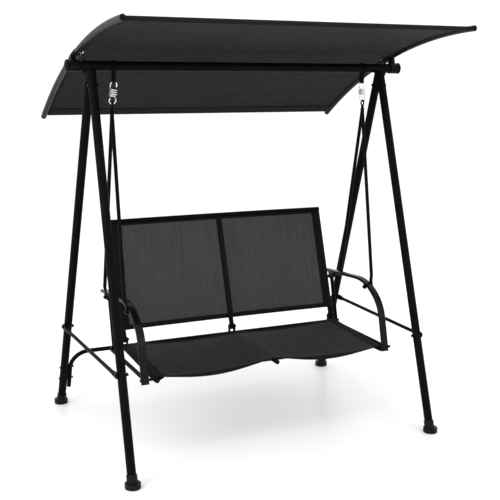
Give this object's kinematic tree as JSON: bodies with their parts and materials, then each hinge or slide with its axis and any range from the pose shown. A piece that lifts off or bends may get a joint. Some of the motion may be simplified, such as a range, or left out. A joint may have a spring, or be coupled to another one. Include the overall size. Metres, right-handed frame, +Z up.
{
  "type": "canopy swing bench",
  "caption": "Two-seat garden swing bench: tube A-frame stand, tilting curved canopy, and a mesh-cloth bench hung from springs.",
  "frame": {"origin": "on the floor, under the middle of the top beam", "axes": "+X to the right seen from the front, +Y to the back, +Z up"},
  "size_m": [1.612, 1.2024, 1.8047],
  "materials": {
    "black_tube": "black powder coat, satin",
    "black_bolts": "black, satin",
    "black_plastic": "moulded, matte",
    "foot_plastic": "moulded, matte",
    "canopy_cloth": "woven, matte",
    "mesh_cloth": "open mesh weave, matte",
    "zinc_wire": "bright zinc plated"
  },
  "bodies": {
    "stand": {"top_beam": "black_tube", "beam_end_nuts": "black_plastic", "bracket_left": "black_tube", "bracket_right": "black_tube", "leg_front_left": "black_tube", "leg_front_right": "black_tube", "leg_rear_left": "black_tube", "leg_rear_right": "black_tube", "foot_front_left": "foot_plastic", "foot_front_right": "foot_plastic", "foot_rear_left": "foot_plastic", "foot_rear_right": "foot_plastic", "brace_left": "black_tube", "brace_right": "black_tube", "rear_crossbar": "black_tube", "beam_loop_left": "black_tube", "beam_loop_right": "black_tube", "bracket_bolts": "black_bolts", "brace_bolts": "black_bolts", "crossbar_bolts": "black_bolts"},
    "canopy": {"canopy_arc_left": "black_tube", "canopy_arc_right": "black_tube", "canopy_tube_front": "black_tube", "canopy_tube_rear": "black_tube", "canopy_fabric": "canopy_cloth", "canopy_clamp_left": "black_plastic", "canopy_clamp_right": "black_plastic", "canopy_straps": "black_tube", "canopy_plugs": "black_plastic"},
    "knob_left": {"knob_left": "black_plastic"},
    "knob_right": {"knob_right": "black_plastic"},
    "springs": {"spring_left": "zinc_wire", "spring_right": "zinc_wire"},
    "lower_hooks": {"spring_hooks": "zinc_wire"},
    "bench": {"hanger_head_left": "black_tube", "hanger_head_right": "black_tube", "hanger_front_left": "black_tube", "hanger_front_right": "black_tube", "hanger_rear_left": "black_tube", "hanger_rear_right": "black_tube", "arm_left": "black_tube", "arm_right": "black_tube", "side_post_left": "black_tube", "side_post_right": "black_tube", "side_bar_left": "black_tube", "side_bar_right": "black_tube", "seat_rail_left": "black_tube", "seat_rail_right": "black_tube", "seat_rail_middle": "black_tube", "seat_tubes": "black_tube", "seat_sling": "mesh_cloth", "back_post_left": "black_tube", "back_post_right": "black_tube", "back_post_middle": "black_tube", "back_top_rail": "black_tube", "back_low_rod": "black_tube", "back_cloths": "mesh_cloth", "back_brackets": "black_tube", "seat_bolts": "black_bolts", "bench_plugs": "black_plastic"}
  },
  "joints": [
    {"name": "canopy_tilt", "type": "hinge", "parent": "stand", "child": "canopy", "pos_m": [0, 0, 1.62], "axis": [1, 0, 0], "range_deg": [-20, 25]},
    {"name": "knob_left_turn", "type": "hinge", "parent": "stand", "child": "knob_left", "pos_m": [-0.79, 0, 1.62], "axis": [1, 0, 0], "continuous": true},
    {"name": "knob_right_turn", "type": "hinge", "parent": "stand", "child": "knob_right", "pos_m": [0.79, 0, 1.62], "axis": [1, 0, 0], "continuous": true},
    {"name": "swing", "type": "hinge", "parent": "stand", "child": "springs", "pos_m": [0, 0, 1.557], "axis": [1, 0, 0], "range_deg": [-20, 20]},
    {"name": "spring_stretch", "type": "slide", "parent": "springs", "child": "lower_hooks", "axis": [0, 0, 1], "range_m": [-0.03, 0], "stiffness_N_per_m": 20000, "springref_m": 0.0105, "deforming": ["spring_left", "spring_right"]},
    {"name": "seat_rock", "type": "hinge", "parent": "lower_hooks", "child": "bench", "pos_m": [0, 0, 1.466], "axis": [1, 0, 0], "range_deg": [-8, 8]}
  ]
}
